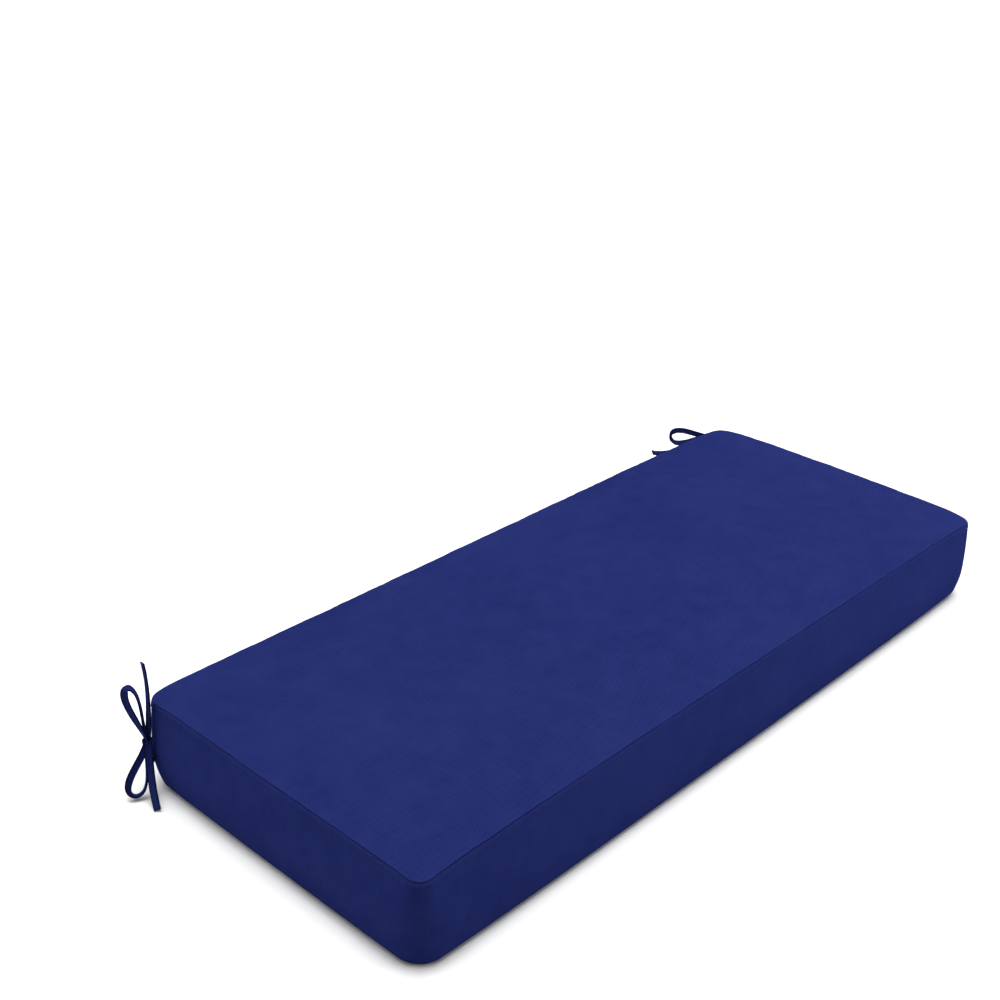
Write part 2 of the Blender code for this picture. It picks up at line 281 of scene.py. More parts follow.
@dataclass(frozen=True)
class WovenCloth:
    """A woven cloth in one colour.

    Attributes:
        name: The material's name.
        yarn: Colour of the threads where they rise.
        hollow: Colour between the threads.
        painted_light_colour: The colour painted on as light: a lighter one as a painted highlight beside the
            cover's seams, a darker one as painted shade at the ties' folds.
        mottle: Strength of the slow change of shade.
        slub: Strength of the uneven yarn.
        rib: Strength of the slanting ribs.
        nap: Roughness before the weave changes it.
        sheen: Weight of the soft sheen at grazing angles.
        sheen_roughness: Its roughness.
        sheen_tint: Its colour.
        relief: Height of the weave.
        relief_share: Share of that height that the bump shows.
        weave: The weave itself.
    """

    name: str
    yarn: Vec3
    hollow: Vec3
    painted_light_colour: Vec3
    mottle: float = 0.55
    slub: float = 0.45
    rib: float = 0.34
    nap: float = 0.90
    sheen: float = 0.05
    sheen_roughness: float = 0.45
    sheen_tint: Vec3 = (0.10, 0.16, 0.90)
    relief: float = 0.00016
    relief_share: float = 0.5
    weave: Weave = Weave()

    def material(self) -> Material:
        """Builds the material.

        Returns:
            The material.
        """
        material, sheet, shader = new_material(self.name)
        cloth = sheet.add("ShaderNodeGroup", {
            "Grain": sheet.add("ShaderNodeUVMap", uv_map=GRAIN_MAP).outputs[0],
            "Place": sheet.add("ShaderNodeTexCoord").outputs["Object"],
            "Painted Light Share": sheet.add("ShaderNodeAttribute", attribute_name=PAINTED_LIGHT_ATTR).outputs["Fac"],
            "Yarn": (*self.yarn, 1.0), "Hollow": (*self.hollow, 1.0), "Painted Light Colour": (*self.painted_light_colour, 1.0),
            "Mottle": self.mottle, "Slub": self.slub, "Rib": self.rib, "Nap": self.nap,
        }, node_tree=self.weave.group()).outputs
        bump = sheet.add("ShaderNodeBump", {
            "Strength": self.relief_share, "Distance": self.relief, "Height": cloth["Height"]})
        sheet.fill(shader, {
            "Base Color": cloth["Colour"], "Roughness": cloth["Roughness"], "Normal": bump.outputs[0],
            "Specular IOR Level": 0.0, "Sheen Weight": self.sheen, "Sheen Roughness": self.sheen_roughness,
            "Sheen Tint": (*self.sheen_tint, 1.0)})
        return material


@dataclass(frozen=True)
class SewingThread:
    """Twisted polyester thread.

    Attributes:
        name: The material's name.
        light: Colour of the strands.
        dark: Colour between the strands.
        twist_pitch: From one turn of the twist to the next.
        roughness: Its roughness.
    """

    name: str = "navy thread"
    light: Vec3 = (0.012, 0.017, 0.085)
    dark: Vec3 = (0.004, 0.006, 0.030)
    twist_pitch: float = 0.0007
    roughness: float = 0.55

    def material(self) -> Material:
        """Builds the material.

        Returns:
            The material.
        """
        material, sheet, shader = new_material(self.name)
        place = sheet.add("ShaderNodeTexCoord").outputs["Object"]
        split = sheet.add("ShaderNodeSeparateXYZ", {0: place}).outputs
        slant = sheet.math("ADD", split[0], sheet.math("ADD", split[1], split[2]))
        twist = sheet.math("SINE", sheet.math("MULTIPLY", slant, 2 * math.pi / self.twist_pitch))
        share = sheet.math("MULTIPLY_ADD", twist, 0.5, 0.5)
        colour = sheet.mix(share, (*self.dark, 1.0), (*self.light, 1.0))
        sheet.fill(shader, {"Base Color": colour, "Roughness": self.roughness})
        return material


@dataclass(frozen=True)
class PaleFloor:
    """A plain pale matt floor.

    Attributes:
        name: The material's name.
        colour: Its colour.
        roughness: Its roughness.
    """

    name: str = "pale floor"
    colour: Vec3 = (0.63, 0.63, 0.63)
    roughness: float = 0.95

    def material(self) -> Material:
        """Builds the material.

        Returns:
            The material.
        """
        material, sheet, shader = new_material(self.name)
        sheet.fill(shader, {"Base Color": (*self.colour, 1.0), "Roughness": self.roughness,
                            "Specular IOR Level": 0.0})
        return material


# ---------------------------------------------------------------------------------------------------------
# Shared mesh work
# ---------------------------------------------------------------------------------------------------------


def smooth(share: Array) -> Array:
    """Eases shares from 0 to 1."""
    return share * share * (3 - 2 * share)


def unit(vectors: Array) -> Array:
    """Scales vectors, in the last axis, to length 1."""
    return vectors / np.maximum(np.linalg.norm(vectors, axis=-1, keepdims=True), 1e-12)


def run_of(path: Array) -> Array:
    """Distance along a path at each of its points."""
    return np.concatenate([[0.0], np.cumsum(np.linalg.norm(np.diff(path, axis=0), axis=1))])


def places(mesh: Mesh) -> Array:
    """Places of a mesh's points, in rows."""
    return np.array([vert.co for vert in mesh.vertices], np.float32)


def new_object(name: str, mesh: Mesh, material: Material | None = None) -> Object:
    """Makes an object at the origin and links it to the scene.

    Args:
        name: The object's name.
        mesh: Its mesh.
        material: Its only material.

    Returns:
        The object.
    """
    obj = bpy.data.objects.new(name, mesh)
    if material:
        mesh.materials.clear()
        mesh.materials.append(material)
    bpy.context.scene.collection.objects.link(obj)
    return obj


def take_result(obj: Object) -> Mesh:
    """Takes the mesh that an object's modifiers make, and removes the modifiers.

    Args:
        obj: The object.

    Returns:
        A plain mesh of its own.
    """
    mesh = bpy.data.meshes.new_from_object(obj.evaluated_get(bpy.context.evaluated_depsgraph_get()))
    obj.modifiers.clear()
    return mesh


def grid_faces(rows: int, around: int, closed: bool = False) -> Array:
    """Faces between rows of points that each run round a section.

    Args:
        rows: How many rows there are.
        around: How many points a row has.
        closed: Whether the last row joins the first.

    Returns:
        Four point numbers for each face.
    """
    row = np.arange(rows if closed else rows - 1)[:, None] * around
    after = (row + around) % (rows * around)
    here, aside = np.arange(around), np.arange(1, around + 1) % around
    return np.stack([row + here, row + aside, after + aside, after + here], 2).reshape(-1, 4)


def cloth_mesh(name: str, points: Array, faces: list[list[int]], grain: Array, painted_light_amount: Array,
               weld: bool = False) -> Mesh:
    """Makes a closed mesh of cloth.

    Args:
        name: The mesh's name.
        points: Its points, in rows.
        faces: The point numbers of each face.
        grain: For each corner of each face, its place along the cloth.
        painted_light_amount: For each point, the share of the painted light colour: a painted highlight
            beside a seam, painted shade at a strip's folds.
        weld: Whether points on one another are joined.

    Returns:
        The mesh, with its normals out.
    """
    mesh = bpy.data.meshes.new(name)
    mesh.from_pydata(points.tolist(), [], faces)
    mesh.uv_layers.new(name=GRAIN_MAP).uv.foreach_set("vector", grain.astype(np.float32).ravel())
    mesh.attributes.new(PAINTED_LIGHT_ATTR, "FLOAT", "POINT").data.foreach_set("value", painted_light_amount.astype(np.float32))
    bm = bmesh.new()
    bm.from_mesh(mesh)
    if weld:
        bmesh.ops.remove_doubles(bm, verts=bm.verts, dist=1e-5)
        bmesh.ops.dissolve_degenerate(bm, dist=1e-6, edges=bm.edges)
    bmesh.ops.recalc_face_normals(bm, faces=bm.faces)
    bm.to_mesh(mesh)
    bm.free()
    mesh.shade_smooth()
    return mesh


@dataclass
class StitchRow:
    """Stitches in a row, laid along a path by geometry nodes.

    Attributes:
        pitch: From one stitch to the next.
        length: Length of one stitch.
        thickness: Thickness of the thread.
        waver: Largest turn of a stitch out of line, in radians.
        seed: Seed of the turns.
        facets: A stitch's segments and rings.
        group_name: Name of the node group.
    """

    pitch: float = 0.0030
    length: float = 0.0024
    thickness: float = 0.0004
    waver: float = 0.12
    seed: int = 7
    facets: tuple[int, int] = (6, 5)
    group_name: str = "stitch row"

    def group(self) -> NodeTree:
        """Builds the tree, or finds it: path to points, one thread at each, then a plain mesh.

        Returns:
            The geometry node group.
        """
        found = bpy.data.node_groups.get(self.group_name)
        if found:
            return found
        tree = bpy.data.node_groups.new(self.group_name, "GeometryNodeTree")
        sheet = NodeSheet(tree)
        given = sheet.declare("INPUT", {
            "Path": "Geometry", "Stitch Pitch": "Float", "Stitch Length": "Float",
            "Thread Thickness": "Float", "Waver": "Float", "Seed": "Int", "Thread": "Material"}).outputs
        out = sheet.declare("OUTPUT", {"Stitches": "Geometry"})

        def step(kind: str, inputs: Inputs | None = None, **settings: object) -> Socket:
            """Adds a node and gives its first output."""
            return sheet.add(kind, inputs, **settings).outputs[0]

        curve = step("GeometryNodeMeshToCurve", {"Mesh": given["Path"]})
        spaced = step("GeometryNodeResampleCurve", {"Curve": curve, "Length": given["Stitch Pitch"]},
                      mode="LENGTH")
        segments, rings = self.facets
        thread = step("GeometryNodeMeshUVSphere", {"Segments": segments, "Rings": rings, "Radius": 0.5})
        size = step("ShaderNodeCombineXYZ", {0: given["Stitch Length"], 1: given["Thread Thickness"],
                                             2: given["Thread Thickness"]})
        shaped = step("GeometryNodeTransform", {"Geometry": thread, "Scale": size})

        tangent = step("GeometryNodeInputTangent")
        run = step("FunctionNodeAlignRotationToVector", {"Vector": tangent}, axis="X")
        upward = step("GeometryNodeInputNamedAttribute", {"Name": STITCH_UP}, data_type="FLOAT_VECTOR")
        stand = step("FunctionNodeAlignRotationToVector", {"Rotation": run, "Vector": upward},
                     axis="Z", pivot_axis="X")
        least = sheet.math("MULTIPLY", given["Waver"], -1.0)
        chance = sheet.add("FunctionNodeRandomValue", {2: least, 3: given["Waver"], "Seed": given["Seed"]},
                           data_type="FLOAT").outputs[1]
        turned = step("FunctionNodeRotateRotation", {0: stand, 1: step("ShaderNodeCombineXYZ", {2: chance})},
                      rotation_space="LOCAL")
        placed = step("GeometryNodeInstanceOnPoints", {"Points": spaced, "Instance": shaped,
                                                       "Rotation": turned})
        real = step("GeometryNodeRealizeInstances", {0: placed})
        dressed = step("GeometryNodeSetMaterial", {"Geometry": real, "Material": given["Thread"]})
        sheet.fill(out, {"Stitches": dressed})
        return tree

    def sew(self, name: str, rows: list[tuple[Array, Array]], thread: Material) -> Object:
        """Sews rows of stitches.

        Args:
            name: The object's name.
            rows: For each row its path and, at each of its points, the direction out of the cloth.
            thread: The thread's material.

        Returns:
            One plain mesh object with every stitch.
        """
        points = np.concatenate([path for path, _ in rows])
        upward = np.concatenate([ups for _, ups in rows])
        ends = set(np.cumsum([len(path) for path, _ in rows]).tolist())
        edges = [(point - 1, point) for point in range(1, len(points)) if point not in ends]
        lines = bpy.data.meshes.new(name + "_path")
        lines.from_pydata(points.tolist(), edges, [])
        lines.attributes.new(STITCH_UP, "FLOAT_VECTOR", "POINT").data.foreach_set(
            "vector", upward.astype(np.float32).ravel())
        obj = new_object(name, lines)
        modifier = obj.modifiers.new("stitches", "NODES")
        modifier.node_group = self.group()
        values = {"Stitch Pitch": self.pitch, "Stitch Length": self.length, "Waver": self.waver,
                  "Thread Thickness": self.thickness, "Seed": self.seed, "Thread": thread}
        for item in modifier.node_group.interface.items_tree:
            if item.name in values:
                modifier[item.identifier] = values[item.name]
        obj.data = take_result(obj)
        obj.data.name = name
        obj.data.shade_smooth()
        return obj


# ---------------------------------------------------------------------------------------------------------
# Cushion
# ---------------------------------------------------------------------------------------------------------


@dataclass(frozen=True)
class Waves:
    """Sine waves round the cushion, each with a whole number of turns.

    Attributes:
        pitches: From one crest to the next, for each wave.
        phase: Phase of the first wave, in radians.
        phase_step: From one wave's phase to the next.
    """

    pitches: Vec3
    phase: float
    phase_step: float = 1.7

    def at(self, run: Array, span: float) -> Array:
        """The waves' mean at each point.

        Args:
            run: Distance round the cushion at each point.
            span: The whole way round.

        Returns:
            Values from -1 to 1.
        """
        waves = [np.sin(2 * math.pi * round(span / pitch) * run / span + self.phase + self.phase_step * index)
                 for index, pitch in enumerate(self.pitches)]
        return sum(waves) / len(waves)


@dataclass
class BoxCushion:
    """The filled cushion: top panel, band and bottom panel, sewn together with the seams turned in.

    A level is a ring of points round the cushion. Its share is 0 at the bottom seam and 1 at the top seam.
    """

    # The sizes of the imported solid: first the seams, which stand lower at the corners.
    length: float = 1.000
    width: float = 0.405
    top_seam: float = 0.1072
    bottom_seam: float = 0.0045
    corner_droop: float = 0.0052
    droop_powers: Pair = (20.0, 8.0)
    sunk_corner: Pair = (0.4600, 0.2000)
    sunk_depth: float = 0.0018
    sunk_reach: float = 0.110
    # How far the band bulges and at which level, and how far its long and its short sides bow out.
    band_bulge: float = 0.0062
    bulge_level: float = 0.38
    bulge_fullness: float = 0.9
    top_bow: Pair = (-0.0015, 0.0018)
    bottom_bow: Pair = (0.0040, 0.0010)
    # The corners in plan. The band's are rounder than its seams' by up to radius_gain.
    top_radius: float = 0.017
    bottom_radius: float = 0.030
    radius_gain: float = 0.0045
    least_radius: float = 0.003
    full_corner: Pair = (-0.5000, 0.2025)
    corner_swell: float = 0.0008
    corner_reach: float = 0.045
    corner_fade: float = 0.008
    # The underside's edge, and the top panel's edge and crown.
    foot_tuck: float = 0.0060
    lip_height: float = 0.0014
    edge_rise: float = 0.0003
    edge_roll: float = 0.0120
    crown: float = 0.0042
    crown_flatness: float = 4.0
    # The filling's two waves: size, radians a metre in plan and up, and the second one's pace and share.
    unevenness: float = 0.0008
    wave_along: Pair = (17.0, 23.0)
    wave_up: Pair = (31.0, -47.0)
    second_wave: Pair = (2.3, 0.6)

    # The fine mesh. The profiles give the levels at the seams: how far out of the top seam's line or how far
    # inside the bottom outline, and the height. Their first profile_seam levels lie below the seam.
    corner_steps: int = 14
    side_steps: tuple[int, int] = (300, 120)
    band_steps: int = 26
    band_gaps: Pair = (0.0020, 0.0022)
    profile_seam: int = 5
    seam_profile: Stops = (
        (0.00115, -0.0052), (0.00105, -0.0038), (0.0010, -0.0025), (0.0008, -0.0014), (0.0002, -0.0007),
        (-0.0012, -0.0001), (-0.0012, 0.0001), (-0.0001, 0.0005), (0.0002, 0.0009), (0.0001, 0.0014),
    )
    foot_profile: Stops = (
        (0.0052, 0.0003), (0.0040, 0.0009), (0.0030, 0.0018), (0.0022, 0.0029), (0.0018, 0.0038),
        (0.0026, 0.0044), (0.0016, 0.0050), (0.0004, 0.0062),
    )
    under_insets: tuple[float, ...] = (0.060, 0.030, 0.016, 0.009)
    panel_insets: tuple[float, ...] = (
        0.0004, 0.0010, 0.0019, 0.0032, 0.0050, 0.0075, 0.0105, 0.0140, 0.018, 0.023,
        0.029, 0.036, 0.044, 0.053, 0.063, 0.075, 0.088, 0.103, 0.120, 0.140,
    )
    middle_shares: tuple[float, ...] = (0.25, 0.5, 0.75, 1.0)
    # Distances from the seam that the gathers and the painted highlight beside the seams go by.
    far_away: float = 0.1
    foot_distance: float = 0.005
    panel_distance: float = 0.002
    profile_distance: float = 0.6

    # The gathers. A level has none where they would be less than least_share, or where the cushion rests.
    gather_height: float = 0.00042
    gather_reach: float = 0.0110
    gathers: Waves = Waves((0.0135, 0.0187, 0.0262), 0.0)
    gather_strength: Pair = (0.55, 0.45)
    gather_changes: Waves = Waves((0.31, 0.19, 0.47), 0.4)
    least_share: float = 0.01
    resting_height: float = 0.004
    # The wander of the top seam, which is everything above under_height, and the seams' uneven depth.
    under_height: float = 0.02
    wander_height: float = 0.00045
    wander: Waves = Waves((0.083, 0.151, 0.046), 2.0)
    seam_variation: float = 0.0016
    variation_gain: float = 1.3
    variation_limits: Pair = (-0.7, 0.6)
    variation: tuple[Waves, Waves] = (Waves((0.024, 0.037, 0.013), 1.1), Waves((0.117, 0.271, 0.183), 0.6))
    seam_line: float = 0.0002
    # The painted highlight, a lighter and paler line painted beside each seam where its lip catches the
    # light: its share, the distance from the seam where it is strongest, and its reach.
    seam_highlight_share: float = 0.5
    seam_highlight_place: float = 0.0016
    seam_highlight_reach: float = 0.0012

    # The swelling of the filled cover: the form, the simulation, and the share of it that the cushion takes.
    swell_shrink: float = 0.003
    swell_voxel: float = 0.006
    swell_rest: float = 0.006
    swell_cap: float = 0.007
    swell_frames: int = 20
    swell_pressure: float = 4.0
    swell_quality: int = 4
    swell_reach: float = 0.02
    swell_floor: float = 0.012
    swell_share: float = 0.30
    swell_limit: float = 0.0013
    # How near a seam, the panel's edge or a corner it fades out.
    seam_calm: float = 0.020
    panel_edge: float = 0.004
    panel_rise: float = 0.001
    corner_calm: float = 0.060
    corner_share: float = 0.10
    fill: float = 0.9

    @property
    def half(self) -> Array:
        """Half the length and half the width."""
        return np.array([self.length, self.width]) / 2

    @property
    def band_height(self) -> float:
        """From seam to seam."""
        return self.top_seam - self.bottom_seam

    def share_at(self, height: float) -> float:
        """The level's share at a height."""
        return (height - self.bottom_seam) / self.band_height

    def plan(self, inset: float, radius: float, bow: Pair) -> Array:
        """The cushion's outline in plan, anticlockwise.

        Args:
            inset: How far inside the nominal outline.
            radius: Corner radius before the inset.
            bow: How far the middle of a long and of a short side bow out.

        Returns:
            Its points, in two columns.
        """
        half = self.half - inset
        radius = max(radius - max(inset, 0.0), self.least_radius)
        arcs = []
        for quarter, corner in enumerate(((1, 1), (-1, 1), (-1, -1), (1, -1))):
            angles = np.radians(90.0 * quarter + 90.0 * np.arange(self.corner_steps + 1) / self.corner_steps)
            ways = np.stack([np.cos(angles), np.sin(angles)], 1)
            arcs.append(np.array(corner) * (half - radius) + radius * ways)
        pieces = []
        for arc, after, steps in zip(arcs, arcs[1:] + arcs[:1], self.side_steps * 2):
            shares = np.arange(1, steps)[:, None] / steps
            pieces += [arc, arc[-1] + (after[0] - arc[-1]) * shares]
        return self.bowed(np.concatenate(pieces), half, bow)

    @staticmethod
    def bowed(points: Array, half: Array, bow: Pair) -> Array:
        """Moves points of the plan outwards: by bow at the middle of a side, by nothing at a corner.

        Args:
            points: Points in two columns.
            half: Half the outline's length and width.
            bow: The largest move of a long and of a short side.

        Returns:
            The moved points.
        """
        ax, ay = (points / half).T
        out_x = bow[1] * (1 - ay**2) * ax * np.abs(ax) ** 5
        out_y = bow[0] * (1 - ax**4) * ay * np.abs(ay) ** 5
        return points + np.stack([out_x, out_y], 1)

    def droop(self, points: Array) -> Array:
        """How far the top seam sinks: most at the corners, and further near one of them.

        Args:
            points: Points of the plan.

        Returns:
            The depth at each.
        """
        near = np.prod(np.abs(points[:, :2] / self.half) ** self.droop_powers, axis=1)
        away = np.linalg.norm(points[:, :2] - self.sunk_corner, axis=1)
        sunk = self.sunk_depth * np.exp(-((away / self.sunk_reach) ** 2))
        return self.corner_droop * np.minimum(1.0, near) + sunk

    def crown_height(self, points: Array, inset: float) -> Array:
        """Height of the top panel.

        Args:
            points: Points of the plan.
            inset: How far they lie inside the outline.

        Returns:
            The height of each.
        """
        edge = max(0.0, 1 - inset / self.edge_roll)
        fade = np.maximum(1 - np.abs(points[:, :2] / self.half) ** self.crown_flatness, 0)
        rise = self.lip_height + self.edge_rise * math.sqrt(1 - edge * edge)
        return self.top_seam + rise + self.crown * np.prod(fade, axis=1) - self.droop(points)

    def corner_radius(self, share: float) -> float:
        """Corner radius of the band at a level."""
        straight = self.bottom_radius + (self.top_radius - self.bottom_radius) * share
        return straight + self.radius_gain * math.sin(math.pi * share)

    def band_inset(self, share: float) -> float:
        """Inset of the band at a level, negative where it bulges."""
        way = np.interp(share, (0, self.bulge_level, 1), (0, 0.5, 1))
        return -self.band_bulge * math.sin(math.pi * way) ** self.bulge_fullness

    def uneven(self, points: Array, height: float, swell: float = 0.0, inset: float = 0.0) -> Array:
        """Pushes a level in and out as the filling does, and one corner of it out.

        Args:
            points: Points of the plan.
            height: Their height.
            swell: Share of the unevenness at this level.
            inset: How far they lie inside the outline.

        Returns:
            Their places in space.
        """
        along = points @ np.array(self.wave_along)
        pitch, strength = self.second_wave
        wave = (np.sin(along + self.wave_up[0] * height)
                + strength * np.sin(pitch * along + self.wave_up[1] * height))
        share, fade = np.clip((self.share_at(height), 1 - inset / self.corner_fade), 0.0, 1.0)
        fullness = fade * (math.sin(math.pi * share**2) / 2 + share)
        away = np.linalg.norm(points - self.full_corner, axis=1)
        corner = self.corner_swell * fullness * np.exp(-((away / self.corner_reach) ** 2))
        push = swell * self.unevenness * wave + corner
        return np.column_stack([points + unit(points) * push[:, None], np.full(len(points), height)])

    def bow_at(self, share: float) -> Pair:
        """The bow of the long and the short sides at a level of the band."""
        low, high = np.array(self.bottom_bow), np.array(self.top_bow)
        return tuple(low + (high - low) * share)

    def flat_level(self, inset: float, height: float) -> Array:
        """A level of the underside, so far inside the outline and so high."""
        points = self.plan(inset, self.bottom_radius, self.bottom_bow)
        return np.column_stack([points, np.full(len(points), height)])

    def ridge_of(self, points: Array) -> Array:
        """Draws the points of a level together on the line along the middle of the panel."""
        reach = (self.length - self.width) / 2
        return np.column_stack([np.clip(points[:, 0], -reach, reach), 0 * points[:, 1], points[:, 2:]])

    def levels(self) -> tuple[Array, tuple[Panel, ...], Array]:
        """Every level of the cushion, from the middle of its underside to the middle of its crown.

        Returns:
            The points of all levels, the panel of the strip above each, and each level's distance from
            the nearer seam.
        """
        foot = self.flat_level(self.foot_tuck, 0.0)
        ridge = self.ridge_of(foot)
        rows = [(foot + (ridge - foot) * share, Panel.BOTTOM, self.far_away)
                for share in reversed(self.middle_shares)]
        rows += [(self.flat_level(inset, 0.0), Panel.BOTTOM, inset) for inset in self.under_insets]
        rows.append((foot, Panel.BOTTOM, self.foot_distance))
        for index, (inset, height) in enumerate(self.foot_profile):
            panel = Panel.BOTTOM if index < self.profile_seam else Panel.BAND
            rows.append((self.flat_level(inset, height), panel, abs(height - self.bottom_seam)))

        first = self.share_at(self.foot_profile[-1][1] + self.band_gaps[0])
        last = 1 + (self.seam_profile[0][1] - self.band_gaps[1]) / self.band_height
        for share in np.linspace(first, last, self.band_steps):
            points = self.plan(self.band_inset(share), self.corner_radius(share), self.bow_at(share))
            height = self.bottom_seam + self.band_height * share
            points = self.uneven(points, height, math.sin(math.pi * share))
            rows.append((points, Panel.BAND, min(share, 1 - share) * self.band_height))

        for index, (out, above) in enumerate(self.seam_profile):
            points = self.uneven(self.plan(-out, self.top_radius, self.top_bow), self.top_seam + above)
            points[:, 2] -= self.droop(points)
            panel = Panel.BAND if index < self.profile_seam else Panel.TOP
            rows.append((points, panel, abs(above) * self.profile_distance))
        for inset in self.panel_insets:
            points = self.uneven(self.plan(inset, self.top_radius, self.top_bow), self.top_seam, inset=inset)
            points[:, 2] = self.crown_height(points, inset)
            rows.append((points, Panel.TOP, inset + self.panel_distance))
        edge, ridge = points[:, :2], self.ridge_of(points)[:, :2]
        for share in self.middle_shares:
            points = edge + (ridge - edge) * share
            points = np.column_stack([points, self.crown_height(points, self.width / 2)])
            rows.append((points, Panel.TOP, self.far_away))
        rings, panels, distances = zip(*rows)
        return np.stack(rings), panels, np.array(distances)

    def sewn(self, rings: Array, distances: Array, run: Array, span: float) -> Array:
        """Draws the cloth in small gathers at both seams and lets the seam lines wander a little.

        Args:
            rings: The points of all levels.
            distances: Each level's distance from the nearer seam.
            run: Distance round the cushion at each point of a level.
            span: The whole way round.

        Returns:
            The moved points.
        """
        usual, change = self.gather_strength
        gathers = self.gathers.at(run, span) * (usual + change * self.gather_changes.at(run, span))
        wander = self.wander.at(run, span)
        depth = self.variation_gain * sum(waves.at(run, span) for waves in self.variation)
        depth = np.clip(depth, *self.variation_limits)
        middle = rings[len(rings) // 2]
        outward = unit((middle - self.ridge_of(middle))[:, :2])
        moved = rings.copy()
        for ring, distance in zip(moved, distances):
            near = math.exp(-((distance / self.gather_reach) ** 2))
            if near < self.least_share or ring[:, 2].max() < self.resting_height:
                continue
            ring[:, :2] += outward * (self.gather_height * near * gathers)[:, None]
            ring[:, 2] += self.wander_height * near * wander * (ring[:, 2] > self.under_height)
            if distance < self.seam_line:
                ring[:, :2] += outward * (self.seam_variation * depth)[:, None]
        return moved

    def mesh(self, name: str) -> Mesh:
        """Skins the levels with faces and gives them the cloth's grain.

        Args:
            name: The mesh's name.

        Returns:
            A closed mesh.
        """
        rings, panels, distances = self.levels()
        middle = rings[len(rings) // 2]
        *run, span = run_of(np.concatenate([middle, middle[:1]]))
        rings = self.sewn(rings, distances, np.array(run), span)
        count, around = rings.shape[:2]
        steps = np.linalg.norm(np.roll(rings[:, :, :2], -1, axis=1) - rings[:, :, :2], axis=2)
        runs = np.concatenate([np.zeros((count, 1)), np.cumsum(steps, axis=1)], axis=1)
        runs *= span / np.maximum(runs[:, -1:], 1e-9)
        grain = np.zeros((count - 1, around, 4, 2))
        for level, panel in enumerate(panels[:-1]):
            for corner, (up, step) in enumerate(((0, 0), (0, 1), (1, 1), (1, 0))):
                points = np.roll(rings[level + up], -step, axis=0)
                grain[level, :, corner] = points[:, :2]
                if panel is Panel.BAND:
                    grain[level, :, corner, 0] = points[:, 2]
                    grain[level, :, corner, 1] = runs[level + up, step:step + around]
        painted_light_amount = self.seam_highlight_share * np.exp(-((distances - self.seam_highlight_place) / self.seam_highlight_reach) ** 2)
        return cloth_mesh(name, rings.reshape(-1, 3), grid_faces(count, around).tolist(), grain,
                          np.repeat(painted_light_amount, around), weld=True)

    def swelled(self) -> BVHTree:
        """Lets the plain solid swell as cloth under pressure.

        Returns:
            The swelled surface.
        """
        bm = bmesh.new()
        bm.from_mesh(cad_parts["cushion"].data)
        bmesh.ops.remove_doubles(bm, verts=bm.verts, dist=1e-6)
        bm.normal_update()
        for vert in bm.verts:
            vert.co -= vert.normal * self.swell_shrink
        mesh = bpy.data.meshes.new("swell_form")
        bm.to_mesh(mesh)
        bm.free()
        obj = new_object("swell_form", mesh)
        remesh = obj.modifiers.new("even", "REMESH")
        remesh.mode = "VOXEL"
        remesh.voxel_size = self.swell_voxel
        obj.data = take_result(obj)
        before = places(obj.data)

        held = obj.vertex_groups.new(name="resting")
        held.add(np.flatnonzero(before[:, 2] < self.swell_rest).tolist(), 1.0, "REPLACE")
        cloth = obj.modifiers.new("filling", "CLOTH")
        cloth.settings.use_pressure = True
        cloth.settings.uniform_pressure_force = self.swell_pressure
        cloth.settings.effector_weights.gravity = 0.0
        cloth.settings.vertex_group_mass = held.name
        cloth.settings.quality = self.swell_quality
        cloth.collision_settings.use_self_collision = False
        for step in range(1, self.swell_frames + 1):
            bpy.context.scene.frame_set(step)
        shaped = take_result(obj)
        bpy.context.scene.frame_set(1)
        move = places(shaped) - before
        reach = np.linalg.norm(move, axis=1, keepdims=True)
        log.info("swelled %d points by up to %.1f mm", len(before), 1000 * reach.max())
        move *= np.minimum(1.0, self.swell_cap / np.maximum(reach, 1e-9))
        faces = [tuple(face.vertices) for face in shaped.polygons]
        bpy.data.objects.remove(obj, do_unlink=True)
        return BVHTree.FromPolygons((before + move).tolist(), faces)

    def settle(self, mesh: Mesh) -> None:
        """Moves the sewn mesh towards the swelled surface, away from the seams and the underside.

        Args:
            mesh: The sewn mesh, changed in place.
        """
        surface = self.swelled()
        points = places(mesh)
        normals = np.array([normal.vector for normal in mesh.vertex_normals], np.float32)
        offsets = np.zeros(len(points))
        above = points[:, 2] >= self.swell_floor
        for index in np.flatnonzero(above):
            place, way = Vector(points[index]), Vector(normals[index])
            hit = surface.ray_cast(place - way * self.swell_reach, way, 2 * self.swell_reach)
            if hit[0] is not None:
                offsets[index] = hit[3] - self.swell_reach
        offsets[above] -= np.median(offsets[above])
        offsets = np.clip(offsets * self.swell_share, -self.swell_limit, self.swell_limit)

        height = points[:, 2]
        from_edges = self.half - np.abs(points[:, :2])
        band = np.minimum(height - self.bottom_seam, self.top_seam - height) / self.seam_calm
        panel = (from_edges.min(axis=1) - self.panel_edge) / self.seam_calm
        on_panel = height > self.top_seam + self.panel_rise
        weight = smooth(np.clip(np.where(on_panel, panel, band), 0, 1))
        weight *= np.clip(from_edges.max(axis=1) / self.corner_calm, self.corner_share, 1.0)
        moved = points + normals * (offsets * weight)[:, None]
        mesh.vertices.foreach_set("co", moved.astype(np.float32).ravel())
        mesh.update()

    def build(self, cover: Material) -> None:
        """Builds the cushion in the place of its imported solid.

        Args:
            cover: The cover's material.
        """
        mesh = self.mesh("padded_cushion")
        self.settle(mesh)
        obj = new_object("padded_cushion", mesh, cover)
        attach(obj, "root")
        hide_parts("cushion")
        log.info("cushion: %d faces", len(mesh.polygons))

